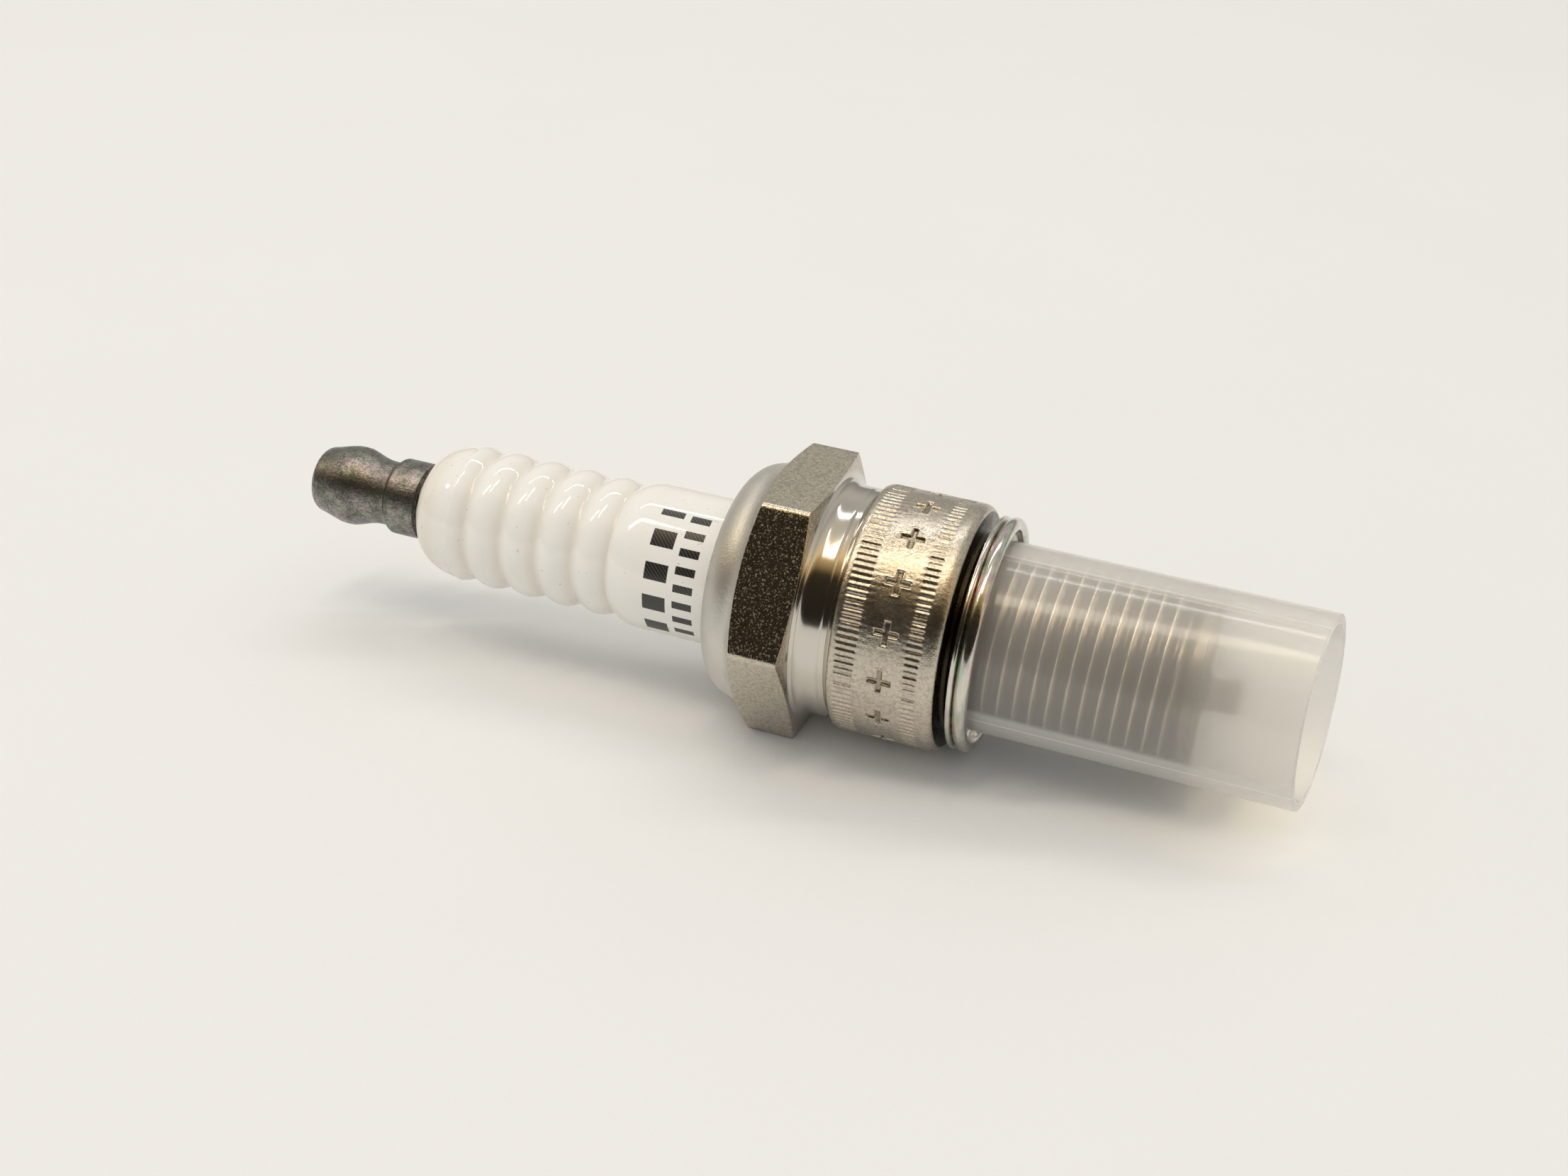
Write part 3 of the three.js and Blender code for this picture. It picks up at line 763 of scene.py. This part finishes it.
def ground_electrode_mesh():
    """A flat bar welded to the shell's end, swept along its bend, with rounded edges."""
    thick, wide, bend = 1.3, 2.6, 0.55
    inner = (TIP_BORE + TIP - 0.3) / 2 - thick / 2
    face = 20.5
    centre_r, centre_x = inner - bend, face - bend
    middle = bend + thick / 2
    # stations along the bar: place (x, z), the way out of the bend, and how much the section is drawn in
    stations = [(19.06, centre_r + middle, 0.0, 1.07), (19.25, centre_r + middle, 0.0, 1.02)]
    stations += [(19.5, centre_r + middle, 0.0, 1.0)]
    for t in np.linspace(0, math.pi / 2, 13):
        stations.append((centre_x + middle * math.sin(t), centre_r + middle * math.cos(t), t, 1.0))
    for z, scale in ((0.0, 1.0), (-1.1, 1.0), (-1.2, 0.97), (-1.25, 0.88)):
        stations.append((centre_x + middle, z, math.pi / 2, scale))
    section = []
    fillet = 0.22
    for side, (cy, ct) in enumerate(((1, 1), (-1, 1), (-1, -1), (1, -1))):
        for a in np.radians(np.linspace(90 * side, 90 * side + 90, 5)):
            y = cy * (wide / 2 - fillet) + fillet * math.cos(a)
            t = ct * (thick / 2 - fillet) + fillet * math.sin(a)
            section.append((y, t))
    points, faces = [], []
    count = len(section)
    for x, z, turn, scale in stations:
        for y, t in section:
            across, out = y * scale, z + t * scale * math.cos(turn)
            side = across * math.cos(GROUND_TURN) - out * math.sin(GROUND_TURN)
            height = across * math.sin(GROUND_TURN) + out * math.cos(GROUND_TURN)
            points.append((x + t * scale * math.sin(turn), side, height))
    for k in range(len(stations) - 1):
        for i in range(count):
            a, b = k * count + i, k * count + (i + 1) % count
            faces.append([a, b, b + count, a + count])
    faces.append(list(range(count)))
    faces.append([(len(stations) - 1) * count + i for i in range(count)])
    return points, faces


def build_pieces():
    def turned(name, material, outline, columns=COLUMNS, body="plug"):
        skin = revolved(outline, columns)
        make_piece(name, body, material, skin.points, skin.faces)

    def shaped(name, material, skin, body="plug"):
        make_piece(name, body, material, skin.points, skin.faces)

    nickel_plate, stud_steel, ring_steel, electrode = nickel(), steel(), steel(), electrode_nickel()
    shaped("shell", nickel_plate, shell_skin())
    shaped("terminal_stud", stud_steel, stud_skin())
    turned("insulator", glaze(), insulator_outline())
    turned("terminal_nut", gunmetal(), nut_outline(), body="terminal_nut")
    turned("gasket", zinc(), gasket_outline(), body="gasket")
    shaped("thread_protector", clear_plastic(), sleeve_skin(), "thread_protector")
    turned("center_electrode", electrode, electrode_outline(), PLAIN)
    core = [(-5.85, 0.0), (-5.85, 0.65), (16.7, 0.65), (16.74, 0.55), (16.74, 0.0)]
    turned("center_electrode_core", copper(), core, PLAIN)
    seal = rounded([(-10.9, 0.0, 0), (-10.9, 2.14, 0.1), (-6.0, 2.14, 0.1), (-6.0, 0.0, 0)])
    turned("glass_seal", seal_glass(), seal, PLAIN)
    powder = rounded([(-18.0, 6.33, 0.08), (-18.0, 7.17, 0.08), (-17.25, 7.17, 0.08), (-17.25, 6.33, 0.08)])
    turned("talc_packing", talc(), powder, PLAIN)
    for name, x in (("upper_packing_ring", -18.5), ("lower_packing_ring", -16.75)):
        turned(name, ring_steel, arc(x, 6.75, 0.4, 0, 345, 23), PLAIN)
    washer = [(6.8, 5.1), (6.6, 5.05), (7.42, 4.45), (7.67, 4.45)]
    turned("seat_washer", ring_steel, washer, PLAIN)
    points, faces = ground_electrode_mesh()
    make_piece("ground_electrode", "plug", electrode, points, faces)


# ---- floor, light and camera ----
# the room as the plug mirrors it, by degrees from level on the camera's side, over the top, to level behind
ROOM = [
    (0, (0.02, 0.016, 0.012)),
    (50, (0.032, 0.025, 0.016)),
    (62, (0.46, 0.31, 0.13)),
    (72, (0.95, 0.72, 0.4)),
    (95, (0.66, 0.6, 0.51)),
    (125, (0.46, 0.445, 0.415)),
    (150, (0.58, 0.56, 0.51)),
    (180, (0.3, 0.295, 0.28)),
]
AMBIENT = (0.59, 0.61, 0.64)  # the even light that softens the shadows, and the backdrop past the paper


def floor():
    """Paper that touches the hexagon's flat and the flange, as the plug tips a little onto the flange."""
    tilt = math.atan2(HEX_FLAT - FLANGE, FLANGE_FRONT - HEX_FRONT)
    mesh = bpy.data.meshes.new("paper")
    size = 1.5
    corners = [(-size, -size, 0), (size, -size, 0), (size, size, 0), (-size, size, 0)]
    mesh.from_pydata(corners, [], [[0, 1, 2, 3]])
    mesh.materials.append(paper())
    sheet = bpy.data.objects.new("paper", mesh)
    sheet.location = (SEAT + HEX_FRONT * MM, 0, -HEX_FLAT * MM)
    sheet.rotation_euler = (0, -tilt, 0)
    bpy.context.scene.collection.objects.link(sheet)


def area_light(name, place, size, power, color):
    """A soft rectangular light that faces the plug; place is metres from the seat."""
    light = bpy.data.lights.new(name, "AREA")
    light.shape = "RECTANGLE"
    light.size, light.size_y = size
    light.energy = power
    light.color = color
    lamp = bpy.data.objects.new(name, light)
    lamp.location = Vector((SEAT, 0, 0)) + Vector(place)
    lamp.rotation_mode = "QUATERNION"
    lamp.rotation_quaternion = Vector(place).to_track_quat("Z", "Y")
    bpy.context.scene.collection.objects.link(lamp)
    return lamp


def lamp_place(along, elevation, distance):
    """A place in metres from the seat: along is the share of the distance that goes along X, and elevation is
    in degrees around the plug, from level on the camera's side over the top."""
    angle = math.radians(elevation)
    across = math.sqrt(1 - along**2)
    return (along * distance, -across * math.cos(angle) * distance, across * math.sin(angle) * distance)


def lights():
    area_light("key_behind", lamp_place(-0.2, 117, 1.3), (1.2, 0.055), 2.4, (1.0, 0.99, 0.97))
    area_light("tube_left", lamp_place(-0.55, 76, 1.2), (0.13, 0.6), 1.9, (1.0, 0.92, 0.8))
    area_light("tube_right", lamp_place(-0.08, 82, 1.2), (0.13, 0.6), 1.9, (1.0, 0.9, 0.74))
    fill = area_light("soft_fill", lamp_place(0.0, 95, 1.2), (1.8, 1.8), 2.4, (0.93, 0.975, 1.03))
    fill.visible_glossy = False


def surroundings():
    """A room that is dark on the camera's side, warm above and pale grey behind the plug.

    Metal and the clear sleeve show it, while the camera and rough surfaces get one plain colour.
    """
    world = bpy.data.worlds.new("room")
    bpy.context.scene.world = world
    world.use_nodes = True
    tree = world.node_tree
    tree.nodes.clear()

    def math_node(operation, a, b):
        node = tree.nodes.new("ShaderNodeMath")
        node.operation = operation
        for socket, value in zip(node.inputs, (a, b)):
            if isinstance(value, bpy.types.NodeSocket):
                tree.links.new(value, socket)
            else:
                socket.default_value = value
        return node.outputs[0]

    coords = tree.nodes.new("ShaderNodeTexCoord")
    split = tree.nodes.new("ShaderNodeSeparateXYZ")
    tree.links.new(coords.outputs["Generated"], split.inputs[0])
    front = math_node("MULTIPLY", split.outputs["Y"], -1.0)
    around = math_node("ARCTAN2", split.outputs["Z"], front)
    ramp = tree.nodes.new("ShaderNodeValToRGB")
    tree.links.new(math_node("DIVIDE", around, math.pi), ramp.inputs[0])
    ramp.color_ramp.interpolation = "EASE"
    while len(ramp.color_ramp.elements) < len(ROOM):
        ramp.color_ramp.elements.new(0.5)
    for element, (elevation, color) in zip(ramp.color_ramp.elements, ROOM):
        element.position = elevation / 180
        element.color = (*color, 1)
    mirrored = tree.nodes.new("ShaderNodeBackground")
    tree.links.new(ramp.outputs["Color"], mirrored.inputs["Color"])
    plain = tree.nodes.new("ShaderNodeBackground")
    plain.inputs["Color"].default_value = (*AMBIENT, 1)
    path = tree.nodes.new("ShaderNodeLightPath")
    either = tree.nodes.new("ShaderNodeMixShader")
    share = math_node("MAXIMUM", path.outputs["Is Diffuse Ray"], path.outputs["Is Camera Ray"])
    for socket, source in zip(either.inputs, (share, mirrored.outputs[0], plain.outputs[0])):
        tree.links.new(source, socket)
    out = tree.nodes.new("ShaderNodeOutputWorld")
    tree.links.new(either.outputs[0], out.inputs["Surface"])


# ---- camera: place in millimetres from the seat, angles in degrees ----
CAMERA_PLACE = (24.8, -124.2, 75.3)
CAMERA_AZIMUTH = 18.2
CAMERA_ELEVATION = 30.0
CAMERA_ROLL = 4.0
CAMERA_LENS = 42.3  # on a sensor 36 mm wide


def view_back():
    """The way from the object to the camera."""
    a, e = math.radians(CAMERA_AZIMUTH), math.radians(CAMERA_ELEVATION)
    return Vector((math.sin(a) * math.cos(e), -math.cos(a) * math.cos(e), math.sin(e)))


def camera():
    data = bpy.data.cameras.new("camera")
    data.lens = CAMERA_LENS
    data.sensor_width = 36
    data.clip_start = 0.005
    eye = bpy.data.objects.new("camera", data)
    eye.location = Vector((SEAT, 0, 0)) + Vector(CAMERA_PLACE) * MM
    eye.rotation_mode = "QUATERNION"
    roll = Quaternion((0, 0, 1), math.radians(CAMERA_ROLL))
    eye.rotation_quaternion = view_back().to_track_quat("Z", "Y") @ roll
    bpy.context.scene.collection.objects.link(eye)
    bpy.context.scene.camera = eye


bpy.context.scene.view_settings.view_transform = "Standard"
build_pieces()
floor()
lights()
surroundings()
camera()
